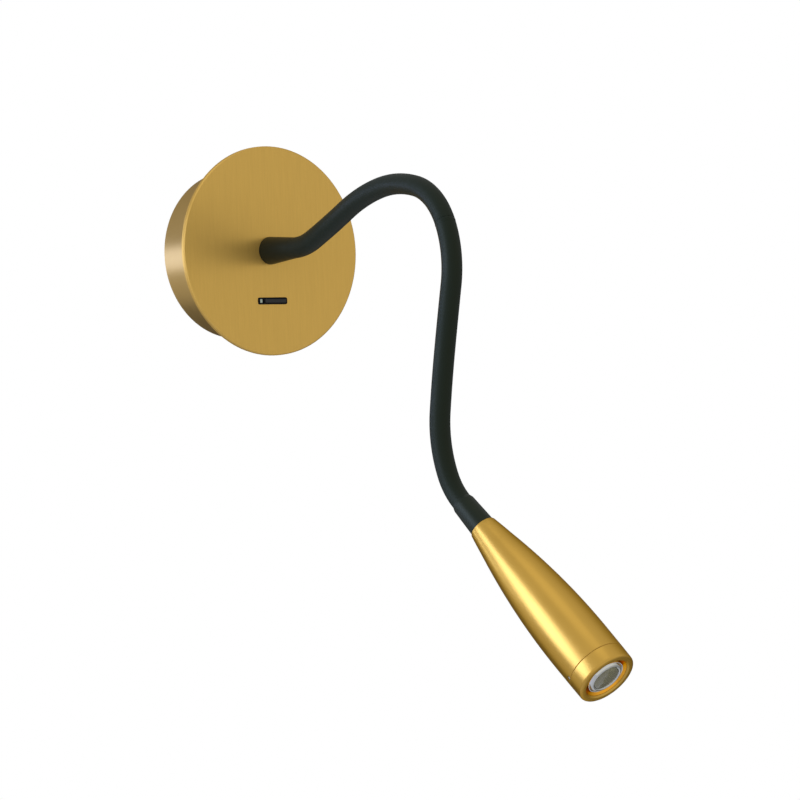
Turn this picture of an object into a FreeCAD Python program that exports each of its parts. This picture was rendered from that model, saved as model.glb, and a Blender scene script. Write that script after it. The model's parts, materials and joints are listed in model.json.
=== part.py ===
"""Bedside wall reading lamp: a drum and disc on the wall, a flexible neck and a tapered spot.

Row frame: the wall is the plane y = 0, the lamp stands out towards -Y, +X is to the right
when facing it and +Z is up. The origin is the middle of the wall bracket.
Base pieces are drawn in a wall frame (x right, y up, z out of the wall) and head pieces in a
head frame (z along the beam, 0 at the shell's tail). Lengths are in millimetres, angles in degrees.
"""
import FreeCAD
import Part
import Sketcher
import math
import os

Vector = FreeCAD.Vector
Rotation = FreeCAD.Rotation
Placement = FreeCAD.Placement

doc = FreeCAD.newDocument("wall_reading_lamp")
sheet = doc.addObject("Spreadsheet::Sheet", "Size")

SIZES = {
    # front plate and drum
    "plate_diameter": 100,
    "plate_thickness": 2,
    "plate_bevel": 0.5,
    "drum_diameter": 80,
    "drum_depth": 29,
    "drum_wall": 1.5,
    "drum_bevel": 0.8,
    # wall bracket and what holds the drum on it
    "strip_width": 16,
    "strip_length": 66,
    "strip_thickness": 1.5,
    "tab_width": 10,
    "tab_height": 12,
    "tab_clearance": 0.15,
    "wall_hole_spacing": 50,
    "wall_slot_length": 12.5,
    "wall_slot_width": 4.5,
    "cable_hole": 12,
    "side_screw_diameter": 4,
    "side_screw_length": 5,
    "side_screw_height": 7,
    "side_screw_inset": 0.2,
    "earth_screw_diameter": 4,
    "earth_screw_head": 7,
    "earth_head_height": 2.4,
    "earth_screw_up": 13,
    # studs that carry the plate
    "stud_circle": 60,
    "stud_diameter": 3,
    "stud_length": 6,
    "stud_nut_flats": 5.5,
    "stud_nut_height": 2.4,
    # driver, its pad and the terminal block
    "driver_wall_gap": 1.5,
    "driver_middle_gap": 3,
    "driver_length": 38,
    "driver_height": 16,
    "driver_corner": 2,
    "pad_thickness": 0.8,
    "pad_margin": 3,
    "terminal_width": 16,
    "terminal_pitch": 7.5,
    "terminal_height": 13,
    "terminal_wall_gap": 4.8,
    "terminal_wire_hole": 3,
    "terminal_screw_diameter": 3.2,
    "terminal_screw_depth": 6,
    # switch
    "switch_down": 24,
    "switch_length": 16.7,
    "switch_width": 3.15,
    "switch_corner": 0.8,
    "switch_proud": 0.3,
    "switch_body_length": 18.5,
    "switch_body_width": 6,
    "switch_body_depth": 9,
    "rocker_length": 12.6,
    "rocker_width": 1.7,
    "rocker_right": 1.25,
    "rocker_pivot_depth": 0.85,
    "rocker_tilt": 4,
    "rocker_above_pivot": 1.2,
    "rocker_below_pivot": 0.45,
    "rocker_gap": 0.2,
    "rocker_pin_diameter": 0.8,
    "rocker_pin_length": 2.5,
    "mark_width": 1.2,
    "mark_height": 1.7,
    "mark_depth": 1,
    "mark_left": 6.7,
    # neck fittings
    "nipple_diameter": 10,
    "nipple_inside": 9,
    "flange_diameter": 12,
    "flange_thickness": 1.5,
    "core_inset": 9,
    "washer_diameter": 18,
    "washer_thickness": 1,
    "lock_nut_flats": 14,
    "lock_nut_height": 3,
    # flexible neck
    "neck_diameter": 10,
    "core_diameter": 8,
    "link_length": 30.5,
    "link_gap": 2.3,
    # boots
    "wall_boot_length": 20.5,
    "wall_boot_base": 13.3,
    "wall_boot_tip": 10.9,
    "head_boot_length": 16,
    "head_boot_base": 11.9,
    "head_boot_tip": 10.3,
    "head_boot_swell": 11,
    "head_boot_swell_length": 2.6,
    "neck_straight": 21,
    # head
    "head_diameter": 30.8,
    "head_length": 106,
    "head_taper": 84,
    "tail_diameter": 12.3,
    "tail_thread": 12,
    "cavity_diameter": 14,
    "cavity_front": 50,
    "cavity_front_diameter": 24,
    "thread_diameter": 26.4,
    "cap_length": 9,
    "cap_spigot": 7,
    "cap_wall": 1.55,
    "seam_bevel": 0.25,
    "rim_round": 1.6,
    "mouth_diameter": 24,
    "mouth_bevel": 0.4,
    "window_diameter": 19.8,
    "recess_depth": 2.4,
    "lip_thickness": 1,
    "sink_start": 68,
    "sink_length": 12,
    "board_thickness": 1.6,
    "board_diameter": 23,
    "board_screw_circle": 17.8,
    "board_screw_diameter": 2.5,
    "board_screw_head": 4,
    "board_screw_head_height": 1.3,
    "board_screw_length": 6,
    "lead_hole": 3.2,
    "emitter_diameter": 8.4,
    "emitter_height": 1,
    "seal_thickness": 0.5,
    "reflector_flange": 1,
    "reflector_wall": 0.9,
    "reflector_foot": 9.4,
    "reflector_mouth": 17.4,
    "lens_flange": 0.8,
    "lens_setback": 0.5,
    "lens_top_diameter": 13.4,
    "lens_dome": 1.2,
    "set_screw_diameter": 1.6,
    "set_screw_back": 1.1,
    "set_screw_inset": 0.25,
    "set_screw_angle": 193.5,
    # gaps between pieces that fit each other
    "fit_gap": 0.1,
    "stack_gap": 0.1,
    "screw_gap": 0.2,
}

# Rest shape of the neck, chosen by hand: how far each stretch turns up, and how far to the right.
REST_PITCH = (21.3, 3.3, -15.2, -23.2, -52.2, -38.6, 1, -1.3, 25.6, 30.1)
REST_YAW = (0, 0, 0, 0, 0, 0, 0, 3.4, 7, 4.1)
LINKS = len(REST_PITCH) - 2
DEGREES_PER_CHORD = 18
FLANK_CHORDS = 7
RIM_CHORDS = 3
LENS_CHORDS = 3
# Round pieces other than the plate and the drum are drawn with flat sides; a true circle has more.
HEAD_SIDES = 40
NECK_SIDES = 24
FASTENER_SIDES = 12
CORE_SIDES = 12
STUD_ANGLES = (90, 240, 300)
OVERCUT = 1

for row, (alias, value) in enumerate(SIZES.items(), start=1):
    sheet.set("A%d" % row, alias)
    sheet.set("B%d" % row, str(value))
    sheet.setAlias("B%d" % row, alias)
doc.recompute()


def read(expression):
    """The present value of an expression on the sheet."""
    return float(sheet.evalExpression(expression))


def bind(item, **bindings):
    """Ties properties to expressions; a double underscore in a name stands for a dot."""
    for name, expression in bindings.items():
        item.setExpression(name.replace("__", "."), expression)
    return item


# Places that several pieces share.
PLATE_BACK = "Size.drum_depth"
PLATE_FRONT = "(Size.drum_depth + Size.plate_thickness)"
DRUM_INSIDE = "(Size.drum_depth - Size.drum_wall)"
DRUM_BORE = "(Size.drum_diameter / 2 - Size.drum_wall)"
NIPPLE_HOLE = "(Size.nipple_diameter / 2 + Size.fit_gap)"
NECK_HOLE = "(Size.neck_diameter / 2 + Size.fit_gap / 2)"
CORE_HOLE = "(Size.core_diameter / 2 + Size.fit_gap / 2)"
SEAM = "(Size.head_length - Size.cap_length)"
HEAD_RADIUS = "(Size.head_diameter / 2)"
THREAD_RADIUS = "(Size.thread_diameter / 2)"
SPIGOT_BORE = "(Size.thread_diameter / 2 - Size.cap_wall)"
MOUTH_FLOOR = "(Size.head_length - Size.recess_depth)"
LIP_BACK = "(Size.head_length - Size.recess_depth - Size.lip_thickness)"
BOARD_BACK = "(Size.sink_start + Size.sink_length)"
BOARD_FRONT = "(Size.sink_start + Size.sink_length + Size.board_thickness)"
EMITTER_FRONT = "(Size.sink_start + Size.sink_length + Size.board_thickness + Size.emitter_height)"
ROCKER_PIVOT = "(Size.drum_depth + Size.plate_thickness - Size.rocker_pivot_depth)"
SWITCH_DOWN = "(-Size.switch_down)"
# The driver fills the room between the neck's washer and the drum's wall.
DRIVER_INNER = "(Size.washer_diameter / 2 + Size.driver_middle_gap)"
DRIVER_OUTER = "(sqrt(%s ^ 2 - (Size.driver_length / 2) ^ 2) - Size.driver_wall_gap)" % DRUM_BORE
TERMINAL_OUTER = "(sqrt(%s ^ 2 - (1.5 * Size.terminal_pitch) ^ 2) - Size.terminal_wall_gap)" % DRUM_BORE


# ---------------------------------------------------------------- drawing helpers


def draw(body, name, plane, outline):
    """A closed sketch with straight sides between its (x, y) corners."""
    planes = [feature for feature in body.Origin.OriginFeatures if feature.Role == plane]
    sketch = body.newObject("Sketcher::SketchObject", name)
    sketch.AttachmentSupport = (planes[0], [""])
    sketch.MapMode = "FlatFace"
    corners = [Vector(read(x), read(y), 0) for x, y in outline]
    for place, corner in enumerate(corners):
        sketch.addGeometry(Part.LineSegment(corner, corners[(place + 1) % len(corners)]), False)
    for place, (x, y) in enumerate(outline):
        following = (place + 1) % len(corners)
        sketch.addConstraint(Sketcher.Constraint("Coincident", place, 2, following, 1))
        corner = corners[place]
        for kind, value, expression in (("DistanceX", corner.x, x), ("DistanceY", corner.y, y)):
            index = sketch.addConstraint(Sketcher.Constraint(kind, -1, 1, place, 1, value))
            sketch.setExpression("Constraints[%d]" % index, expression)
    return sketch


def turned(name, outline):
    """A body of revolution about its own z axis, from an outline of (radius, height) corners."""
    body = doc.addObject("PartDesign::Body", name)
    sketch = draw(body, name + "_outline", "XZ_Plane", outline)
    revolution = body.newObject("PartDesign::Revolution", name + "_turning")
    revolution.Profile = sketch
    revolution.ReferenceAxis = (sketch, ["V_Axis"])
    return body


def tapered(name, outline, sides):
    """A turned piece with tapers, in flat sides, from a closed outline of (radius, height) corners."""
    corners = [(read(radius), read(height)) for radius, height in outline]
    faces = []
    for place, (radius, height) in enumerate(corners):
        next_radius, next_height = corners[(place + 1) % len(corners)]
        if radius == next_radius == 0:
            continue
        for side in range(sides):
            angles = (2 * math.pi * side / sides, 2 * math.pi * (side + 1) / sides)
            near = [Vector(radius * math.cos(a), radius * math.sin(a), height) for a in angles]
            far = [Vector(next_radius * math.cos(a), next_radius * math.sin(a), next_height) for a in angles]
            # On the axis both ends of an edge are one point, and the face is a triangle.
            edge = near if radius else near[:1]
            other = far[::-1] if next_radius else far[:1]
            faces.append(Part.Face(Part.makePolygon(edge + other + edge[:1])))
    solid = Part.Solid(Part.makeShell(faces)).removeSplitter()
    if solid.Volume < 0:
        solid.reverse()
    item = doc.addObject("Part::Feature", name)
    item.Shape = solid
    return item


def prism(name, outline, width):
    """A body padded to both sides of its own XZ plane."""
    body = doc.addObject("PartDesign::Body", name)
    sketch = draw(body, name + "_outline", "XZ_Plane", outline)
    pad = body.newObject("PartDesign::Pad", name + "_pad")
    pad.Profile = sketch
    pad.Midplane = True
    bind(pad, Length=width)
    return body


AXES = {"x": Rotation(Vector(0, 1, 0), 90), "y": Rotation(Vector(1, 0, 0), -90), "z": Rotation()}


def drill(name, radius, length, at=("0", "0", "0"), axis="z"):
    """A true cylinder that starts at a point and runs along one axis."""
    item = doc.addObject("Part::Cylinder", name)
    item.Placement.Rotation = AXES[axis]
    bind(item, Radius=radius, Height=length)
    bind(item, Placement__Base__x=at[0], Placement__Base__y=at[1], Placement__Base__z=at[2])
    return item


def rod(name, radius, length, at=("0", "0", "0"), axis="z", sides=FASTENER_SIDES):
    """A many-sided bar, or the hole for one, which starts at a point and runs along one axis."""
    item = doc.addObject("Part::Prism", name)
    item.Polygon = sides
    item.Placement.Rotation = AXES[axis]
    bind(item, Circumradius=radius, Height=length)
    bind(item, Placement__Base__x=at[0], Placement__Base__y=at[1], Placement__Base__z=at[2])
    return item


def hexagon(name, flats, length, at=("0", "0", "0"), axis="z"):
    """A six-sided bar with its size across the flats."""
    return rod(name, "%s / sqrt(3)" % flats, length, at, axis, 6)


def block(name, width, height, depth, at):
    """A box centred on at in x and y, which starts at the z of at."""
    item = doc.addObject("Part::Box", name)
    bind(item, Length=width, Width=height, Height=depth)
    bind(item, Placement__Base__x="%s - %s / 2" % (at[0], width))
    bind(item, Placement__Base__y="%s - %s / 2" % (at[1], height))
    bind(item, Placement__Base__z=at[2])
    return item


def rounded(name, base, radius):
    """A box with its four edges along z rounded."""
    doc.recompute()
    item = doc.addObject("Part::Fillet", name)
    item.Base = base
    upright = []
    for number, edge in enumerate(base.Shape.Edges, start=1):
        if abs(edge.tangentAt(edge.FirstParameter).z) > 0.99:
            upright.append((number, read(radius), read(radius)))
    item.Edges = upright
    return item


def joined(name, pieces):
    """Pieces that are one solid on the real object."""
    item = doc.addObject("Part::MultiFuse", name)
    item.Shapes = pieces
    item.Refine = True
    return item


def group(name, pieces):
    """Separate solids that share a node."""
    item = doc.addObject("Part::Compound", name)
    item.Links = pieces
    return item


def carved(name, base, tools):
    """A piece with tools taken away from it."""
    item = doc.addObject("Part::Cut", name)
    item.Base = base
    item.Tool = tools[0] if len(tools) == 1 else joined(name + "_tools", tools)
    return item


def loft(name, sections):
    """A solid with straight sides between its sections."""
    item = doc.addObject("Part::Loft", name)
    item.Sections = sections
    item.Solid = True
    item.Ruled = True
    return item


# ---------------------------------------------------------------- route of the neck

WALL_FRAME = Placement(Vector(0, 0, 0), Rotation(Vector(1, 0, 0), 90))
JOINT_COUNT = LINKS + 1


def stretches():
    """The neck's stretches from the plate to the shell: (length, turn up, turn right)."""
    link = read("Size.link_length")
    lengths = [link / 2] + [link] * LINKS + [link / 2]
    bends = list(zip(lengths, REST_PITCH, REST_YAW))
    return [(read("Size.neck_straight"), 0, 0)] + bends + [(read("Size.head_boot_length"), 0, 0)]


def along_arc(length, pitch, yaw, distance):
    """Placement on one stretch, which starts at the origin and runs along z."""
    turn = math.radians(math.hypot(pitch, yaw))
    if turn == 0:
        return Placement(Vector(0, 0, distance), Rotation())
    axis = Vector(-pitch, yaw, 0)
    axis.normalize()
    inward = axis.cross(Vector(0, 0, 1))
    radius = length / turn
    angle = distance / radius
    point = inward * radius * (1 - math.cos(angle)) + Vector(0, 0, radius * math.sin(angle))
    return Placement(point, Rotation(axis, math.degrees(angle)))


def along_neck(distance):
    """Placement in the row frame at a distance from the plate's face, with z along the neck."""
    place = WALL_FRAME.multiply(Placement(Vector(0, 0, read(PLATE_FRONT) + min(distance, 0)), Rotation()))
    left = max(distance, 0)
    for length, pitch, yaw in stretches():
        step = min(left, length)
        place = place.multiply(along_arc(length, pitch, yaw, step))
        left -= step
    return place.multiply(Placement(Vector(0, 0, left), Rotation()))


def neck_length():
    return sum(length for length, pitch, yaw in stretches())


def joint_distance(number):
    """Where joint 1 to JOINT_COUNT lies, measured along the neck."""
    return read("Size.neck_straight + (%d - 0.5) * Size.link_length" % number)


def stops(start, end):
    """Distances from start to end that keep each chord's turn small."""
    found = [start, end]
    reached = 0
    for length, pitch, yaw in stretches():
        chords = max(1, math.ceil(math.hypot(pitch, yaw) / DEGREES_PER_CHORD))
        for step in range(chords):
            distance = reached + length * step / chords
            if start < distance < end:
                found.append(distance)
        reached += length
    return sorted(found)


HEAD_FRAME = along_neck(neck_length())

# ---------------------------------------------------------------- base pieces

NODES = {}


def keep(name, item, frame):
    """Names a finished piece and sets the frame that it is drawn in."""
    item.Label = name
    NODES[name] = (item, frame)
    return item


def make_front_plate():
    blank = turned("plate_disc", [
        (NIPPLE_HOLE, PLATE_BACK),
        ("Size.plate_diameter / 2", PLATE_BACK),
        ("Size.plate_diameter / 2", PLATE_FRONT + " - Size.plate_bevel"),
        ("Size.plate_diameter / 2 - Size.plate_bevel", PLATE_FRONT),
        (NIPPLE_HOLE, PLATE_FRONT),
    ])
    slot = block(
        "plate_slot_box",
        "(Size.switch_length + 2 * Size.fit_gap)",
        "(Size.switch_width + 2 * Size.fit_gap)",
        "Size.plate_thickness + %d" % (2 * OVERCUT),
        ("0", SWITCH_DOWN, PLATE_BACK + " - %d" % OVERCUT),
    )
    slot = rounded("plate_slot", slot, "Size.switch_corner + Size.fit_gap")
    keep("front_plate", carved("front_plate", blank, [slot]), WALL_FRAME)


def stud_place(angle, height):
    """Where a stud of the plate stands, as expressions."""
    along = "Size.stud_circle / 2 * cos(%d deg)" % angle
    up = "Size.stud_circle / 2 * sin(%d deg)" % angle
    return (along, up, height)


def make_drum():
    blank = turned("drum_shell", [
        (NIPPLE_HOLE, DRUM_INSIDE),
        (DRUM_BORE, DRUM_INSIDE),
        (DRUM_BORE, "0"),
        ("Size.drum_diameter / 2", "0"),
        ("Size.drum_diameter / 2", PLATE_BACK + " - Size.drum_bevel"),
        ("Size.drum_diameter / 2 - Size.drum_bevel", PLATE_BACK),
        (NIPPLE_HOLE, PLATE_BACK),
    ])
    tools = [block(
        "drum_switch_window",
        "(Size.switch_body_length + 2 * Size.screw_gap)",
        "(Size.switch_body_width + 2 * Size.screw_gap)",
        "Size.drum_wall + %d" % (2 * OVERCUT),
        ("0", SWITCH_DOWN, DRUM_INSIDE + " - %d" % OVERCUT),
    )]
    for angle in STUD_ANGLES:
        tools.append(rod(
            "drum_stud_hole_%d" % angle,
            "Size.stud_diameter / 2 + Size.screw_gap",
            "Size.drum_wall + %d" % (2 * OVERCUT),
            stud_place(angle, DRUM_INSIDE + " - %d" % OVERCUT),
        ))
    tools.append(rod(
        "drum_side_holes",
        "Size.side_screw_diameter / 2 + Size.fit_gap",
        "Size.drum_diameter + %d" % (2 * OVERCUT),
        ("0", "-Size.drum_diameter / 2 - %d" % OVERCUT, "Size.side_screw_height"),
        "y",
    ))
    keep("drum_housing", carved("drum_housing", blank, tools), WALL_FRAME)


# A tab is flat, so its face stays inside the drum's round wall at the tab's two edges.
TAB_FACE = "(sqrt(%s ^ 2 - (Size.tab_width / 2) ^ 2) - Size.tab_clearance)" % DRUM_BORE


def slot_tools(name, middle):
    """A slot along y through the strip: a box and two round ends."""
    reach = "(Size.wall_slot_length - Size.wall_slot_width) / 2"
    depth = "Size.strip_thickness + %d" % (2 * OVERCUT)
    floor = "-%d" % OVERCUT
    straight = "(Size.wall_slot_length - Size.wall_slot_width)"
    tools = [block(name + "_middle", "Size.wall_slot_width", straight, depth, ("0", middle, floor))]
    for end, sign in (("upper", "+"), ("lower", "-")):
        place = ("0", "%s %s %s" % (middle, sign, reach), floor)
        tools.append(drill("%s_%s_end" % (name, end), "Size.wall_slot_width / 2", depth, place))
    return tools


def make_bracket():
    strip = block(
        "bracket_strip", "Size.strip_width", "Size.strip_length", "Size.strip_thickness",
        ("0", "0", "0"),
    )
    ends = block(
        "bracket_ends", "Size.tab_width", "(2 * %s)" % TAB_FACE, "Size.strip_thickness",
        ("0", "0", "0"),
    )
    tabs = []
    for end, sign in (("upper", ""), ("lower", "-")):
        middle = "%s(%s - Size.strip_thickness / 2)" % (sign, TAB_FACE)
        tabs.append(block(
            "bracket_tab_" + end, "Size.tab_width", "Size.strip_thickness", "Size.tab_height",
            ("0", middle, "0"),
        ))
    sheet_metal = joined("bracket_sheet", [strip, ends] + tabs)
    depth = "Size.strip_thickness + %d" % (2 * OVERCUT)
    floor = "-%d" % OVERCUT
    tools = [drill("bracket_cable_hole", "Size.cable_hole / 2", depth, ("0", "0", floor))]
    tools.append(rod(
        "bracket_earth_hole", "Size.earth_screw_diameter / 2", depth, ("0", "Size.earth_screw_up", floor),
    ))
    tools.append(rod(
        "bracket_tab_holes", "Size.side_screw_diameter / 2", "Size.drum_diameter",
        ("0", "-Size.drum_diameter / 2", "Size.side_screw_height"), "y",
    ))
    tools += slot_tools("bracket_slot_top", "Size.wall_hole_spacing / 2")
    tools += slot_tools("bracket_slot_bottom", "-Size.wall_hole_spacing / 2")
    keep("wall_bracket", carved("wall_bracket", sheet_metal, tools), WALL_FRAME)


def make_side_screws():
    screws = []
    outer = "(Size.drum_diameter / 2 - Size.side_screw_inset)"
    for end, start, socket in (
        ("upper", outer + " - Size.side_screw_length", outer + " - Size.side_screw_diameter / 2"),
        ("lower", "-" + outer, "-" + outer),
    ):
        shank = rod(
            "side_screw_shank_" + end, "Size.side_screw_diameter / 2", "Size.side_screw_length",
            ("0", start, "Size.side_screw_height"), "y",
        )
        recess = hexagon(
            "side_screw_socket_" + end, "(Size.side_screw_diameter / 2)", "Size.side_screw_diameter / 2",
            ("0", socket, "Size.side_screw_height"), "y",
        )
        screws.append(carved("side_screw_" + end, shank, [recess]))
    keep("side_screws", group("side_screws", screws), WALL_FRAME)


def make_earth_screw():
    shank = rod(
        "earth_shank", "Size.earth_screw_diameter / 2", "Size.strip_thickness",
        ("0", "Size.earth_screw_up", "0"),
    )
    head = rod(
        "earth_head", "Size.earth_screw_head / 2", "Size.earth_head_height",
        ("0", "Size.earth_screw_up", "Size.strip_thickness"),
    )
    keep("earth_screw", joined("earth_screw", [shank, head]), WALL_FRAME)


def make_studs():
    studs = []
    nuts = []
    tip = PLATE_BACK + " - Size.stud_length"
    seat = DRUM_INSIDE + " - Size.stud_nut_height"
    for angle in STUD_ANGLES:
        studs.append(rod(
            "stud_%d" % angle, "Size.stud_diameter / 2", "Size.stud_length", stud_place(angle, tip),
        ))
        bar = hexagon(
            "nut_bar_%d" % angle, "Size.stud_nut_flats", "Size.stud_nut_height", stud_place(angle, seat),
        )
        bore = rod(
            "nut_bore_%d" % angle, "Size.stud_diameter / 2", "Size.stud_nut_height",
            stud_place(angle, seat),
        )
        nuts.append(carved("nut_%d" % angle, bar, [bore]))
    keep("plate_studs", group("plate_studs", studs), WALL_FRAME)
    keep("plate_nuts", group("plate_nuts", nuts), WALL_FRAME)


def make_driver():
    width = "(%s - %s)" % (DRIVER_OUTER, DRIVER_INNER)
    left = "(-(%s + %s) / 2)" % (DRIVER_OUTER, DRIVER_INNER)
    case = block(
        "driver_case", width, "Size.driver_length", "Size.driver_height",
        (left, "0", DRUM_INSIDE + " - Size.pad_thickness - Size.driver_height"),
    )
    case = rounded("driver_rounded", case, "Size.driver_corner")
    keep("led_driver", group("led_driver", [case]), WALL_FRAME)
    pad = block(
        "driver_foam", "(%s - 2 * Size.pad_margin)" % width,
        "(Size.driver_length - 2 * Size.pad_margin)", "Size.pad_thickness",
        (left, "0", DRUM_INSIDE + " - Size.pad_thickness"),
    )
    keep("driver_pad", group("driver_pad", [pad]), WALL_FRAME)


def make_terminals():
    right = "(%s - Size.terminal_width / 2)" % TERMINAL_OUTER
    floor = "(%s - Size.terminal_height)" % DRUM_INSIDE
    case = block(
        "terminal_case", "Size.terminal_width", "(3 * Size.terminal_pitch)", "Size.terminal_height",
        (right, "0", floor),
    )
    tools = []
    screws = []
    for pole in (-1, 0, 1):
        across = "%d * Size.terminal_pitch" % pole
        tools.append(block(
            "terminal_wire_hole_%d" % (pole + 2), "(Size.terminal_width + %d)" % (2 * OVERCUT),
            "Size.terminal_wire_hole", "Size.terminal_wire_hole",
            (right, across, DRUM_INSIDE + " - Size.terminal_height / 2"),
        ))
        tools.append(rod(
            "terminal_screw_hole_%d" % (pole + 2), "Size.terminal_screw_diameter / 2",
            "Size.terminal_screw_depth", (right, across, floor),
        ))
        screws.append(rod(
            "terminal_screw_%d" % (pole + 2), "Size.terminal_screw_diameter / 2",
            "Size.terminal_screw_depth - 2 * Size.stack_gap",
            (right, across, floor + " + 2 * Size.stack_gap"),
        ))
    keep("terminal_block", carved("terminal_block", case, tools), WALL_FRAME)
    keep("terminal_screws", group("terminal_screws", screws), WALL_FRAME)


def make_switch():
    body = block(
        "switch_case", "Size.switch_body_length", "Size.switch_body_width", "Size.switch_body_depth",
        ("0", SWITCH_DOWN, PLATE_BACK + " - Size.switch_body_depth"),
    )
    keep("switch_body", group("switch_body", [body]), WALL_FRAME)
    frame = block(
        "switch_frame_box", "Size.switch_length", "Size.switch_width",
        "(Size.plate_thickness + Size.switch_proud)", ("0", SWITCH_DOWN, PLATE_BACK),
    )
    frame = rounded("switch_frame_rounded", frame, "Size.switch_corner")
    window = block(
        "rocker_window", "(Size.rocker_length + 2 * Size.rocker_gap)",
        "(Size.rocker_width + Size.rocker_gap)",
        "Size.plate_thickness + %d" % (2 * OVERCUT),
        ("Size.rocker_right", SWITCH_DOWN, PLATE_BACK + " - %d" % OVERCUT),
    )
    pin_hole = rod(
        "rocker_pin_hole", "Size.rocker_pin_diameter / 2 + Size.fit_gap / 2",
        "Size.rocker_pin_length + 2 * Size.fit_gap",
        (
            "Size.rocker_right",
            SWITCH_DOWN + " - Size.rocker_pin_length / 2 - Size.fit_gap",
            ROCKER_PIVOT,
        ),
        "y",
    )
    mark_floor = PLATE_FRONT + " + Size.switch_proud - Size.mark_depth"
    mark_place = ("(-Size.mark_left)", SWITCH_DOWN, mark_floor)
    pocket = block("mark_pocket", "Size.mark_width", "Size.mark_height", "Size.mark_depth + %d" % OVERCUT,
                   mark_place)
    keep("switch_frame", carved("switch_frame", frame, [window, pin_hole, pocket]), WALL_FRAME)
    mark = block("mark_inlay", "Size.mark_width", "Size.mark_height", "Size.mark_depth", mark_place)
    keep("switch_mark", group("switch_mark", [mark]), WALL_FRAME)


def make_rocker():
    """The rocker is drawn level about its pin and placed with its left end raised."""
    half = "Size.rocker_length / 2"
    raised = "Size.rocker_above_pivot + Size.rocker_length / 2 * tan(Size.rocker_tilt * 1 deg)"
    bar = prism("rocker_bar", [
        ("-" + half, "-Size.rocker_below_pivot"),
        (half, "-Size.rocker_below_pivot"),
        (half, raised),
        ("0", "Size.rocker_above_pivot"),
        ("-" + half, raised),
    ], "Size.rocker_width")
    pin = rod(
        "rocker_pin", "Size.rocker_pin_diameter / 2", "Size.rocker_pin_length",
        ("0", "-Size.rocker_pin_length / 2", "0"), "y",
    )
    rocker = joined("switch_rocker", [bar, pin])
    pivot = Vector(read("Size.rocker_right"), read(SWITCH_DOWN), read(ROCKER_PIVOT))
    tilt = Rotation(Vector(0, 1, 0), read("Size.rocker_tilt"))
    keep("switch_rocker", rocker, WALL_FRAME.multiply(Placement(pivot, tilt)))


def make_neck_fittings():
    start = "(Size.drum_depth - Size.nipple_inside)"
    flange_front = "(%s + Size.flange_thickness)" % PLATE_FRONT
    stem = rod("nipple_stem", "Size.nipple_diameter / 2", "%s - %s" % (flange_front, start),
               ("0", "0", start), sides=NECK_SIDES)
    flange = rod("nipple_flange", "Size.flange_diameter / 2", "Size.flange_thickness",
                 ("0", "0", PLATE_FRONT), sides=NECK_SIDES)
    bore = rod("nipple_bore", CORE_HOLE, "%s - %s" % (flange_front, start), ("0", "0", start),
               sides=NECK_SIDES)
    keep("neck_nipple", carved("neck_nipple", joined("nipple_outside", [stem, flange]), [bore]), WALL_FRAME)
    washer_seat = DRUM_INSIDE + " - Size.washer_thickness"
    ring = rod("washer_ring", "Size.washer_diameter / 2", "Size.washer_thickness",
               ("0", "0", washer_seat), sides=NECK_SIDES)
    hole = rod("washer_hole", NIPPLE_HOLE, "Size.washer_thickness", ("0", "0", washer_seat),
               sides=NECK_SIDES)
    keep("neck_washer", carved("neck_washer", ring, [hole]), WALL_FRAME)
    nut_seat = washer_seat + " - Size.lock_nut_height"
    nut = hexagon("lock_nut_bar", "Size.lock_nut_flats", "Size.lock_nut_height", ("0", "0", nut_seat))
    thread = rod("lock_nut_thread", "Size.nipple_diameter / 2", "Size.lock_nut_height",
                 ("0", "0", nut_seat), sides=NECK_SIDES)
    keep("neck_lock_nut", carved("neck_lock_nut", nut, [thread]), WALL_FRAME)
    tip = PLATE_FRONT + " + Size.wall_boot_length"
    inner_step = flange_front + " + Size.fit_gap"
    keep("wall_boot", tapered("wall_boot", [
        ("Size.flange_diameter / 2 + Size.fit_gap", PLATE_FRONT),
        ("Size.wall_boot_base / 2", PLATE_FRONT),
        ("Size.wall_boot_tip / 2", tip),
        (NECK_HOLE, tip),
        (NECK_HOLE, inner_step),
        ("Size.flange_diameter / 2 + Size.fit_gap", inner_step),
    ], NECK_SIDES), WALL_FRAME)


# ---------------------------------------------------------------- flexible neck

ROW_FRAME = Placement()


def section(name, distance, radius, sides):
    """A many-sided section square to the neck."""
    item = doc.addObject("Part::RegularPolygon", name)
    item.Polygon = sides
    item.Placement = along_neck(distance)
    return bind(item, Circumradius=radius)


def bar_along_neck(name, start, end, radius, sides):
    """A bar that follows the neck from one distance to another."""
    return loft(name, [
        section("%s_section_%d" % (name, number), distance, radius, sides)
        for number, distance in enumerate(stops(start, end))
    ])


def joint_gap(name, number):
    """The room that two links leave between their cores for bending."""
    item = rod(name, "Size.neck_diameter / 2", "Size.link_gap", sides=FASTENER_SIDES)
    for axis in "xyz":
        item.setExpression("Placement.Base." + axis, None)
    item.Placement = along_neck(joint_distance(number) - read("Size.link_gap / 2"))
    return item


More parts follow.
